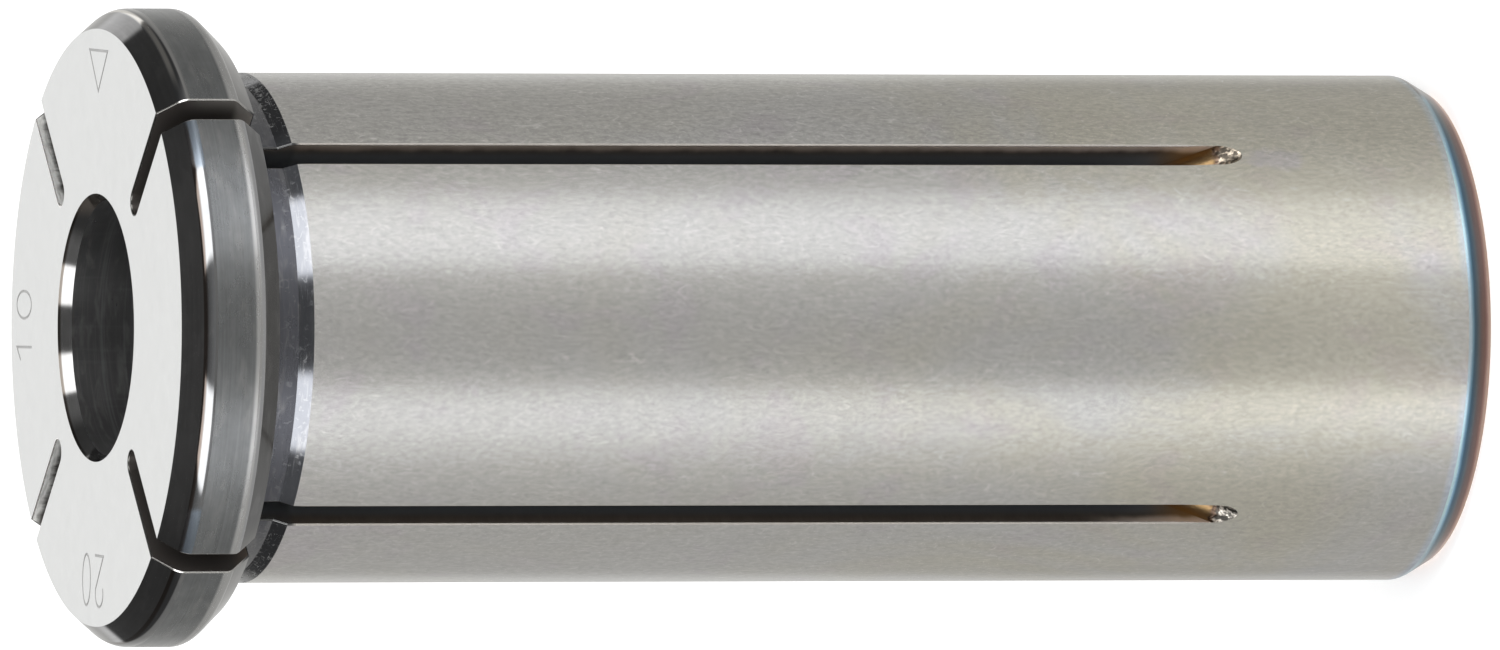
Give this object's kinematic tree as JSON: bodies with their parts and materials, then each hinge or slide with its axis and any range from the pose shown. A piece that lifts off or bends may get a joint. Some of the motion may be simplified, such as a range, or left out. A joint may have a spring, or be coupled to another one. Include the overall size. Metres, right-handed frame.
{
  "type": "reducing sleeve",
  "caption": "Slit steel reducing sleeve with a collar, a ground shank and a through bore, for holding a thinner tool shank in a larger clamping chuck.",
  "frame": {"origin": "centre of the rear end face, the end away from the collar", "axes": "+Z along the bore axis, from the rear end to the front of the collar; the index mark on the front face points in from +X, and the slits lie at 45 degrees between the X and Y axes"},
  "size_m": [0.025, 0.025, 0.0545],
  "materials": {
    "steel": "ground"
  },
  "bodies": {
    "root": {"sleeve": "steel"}
  },
  "joints": []
}
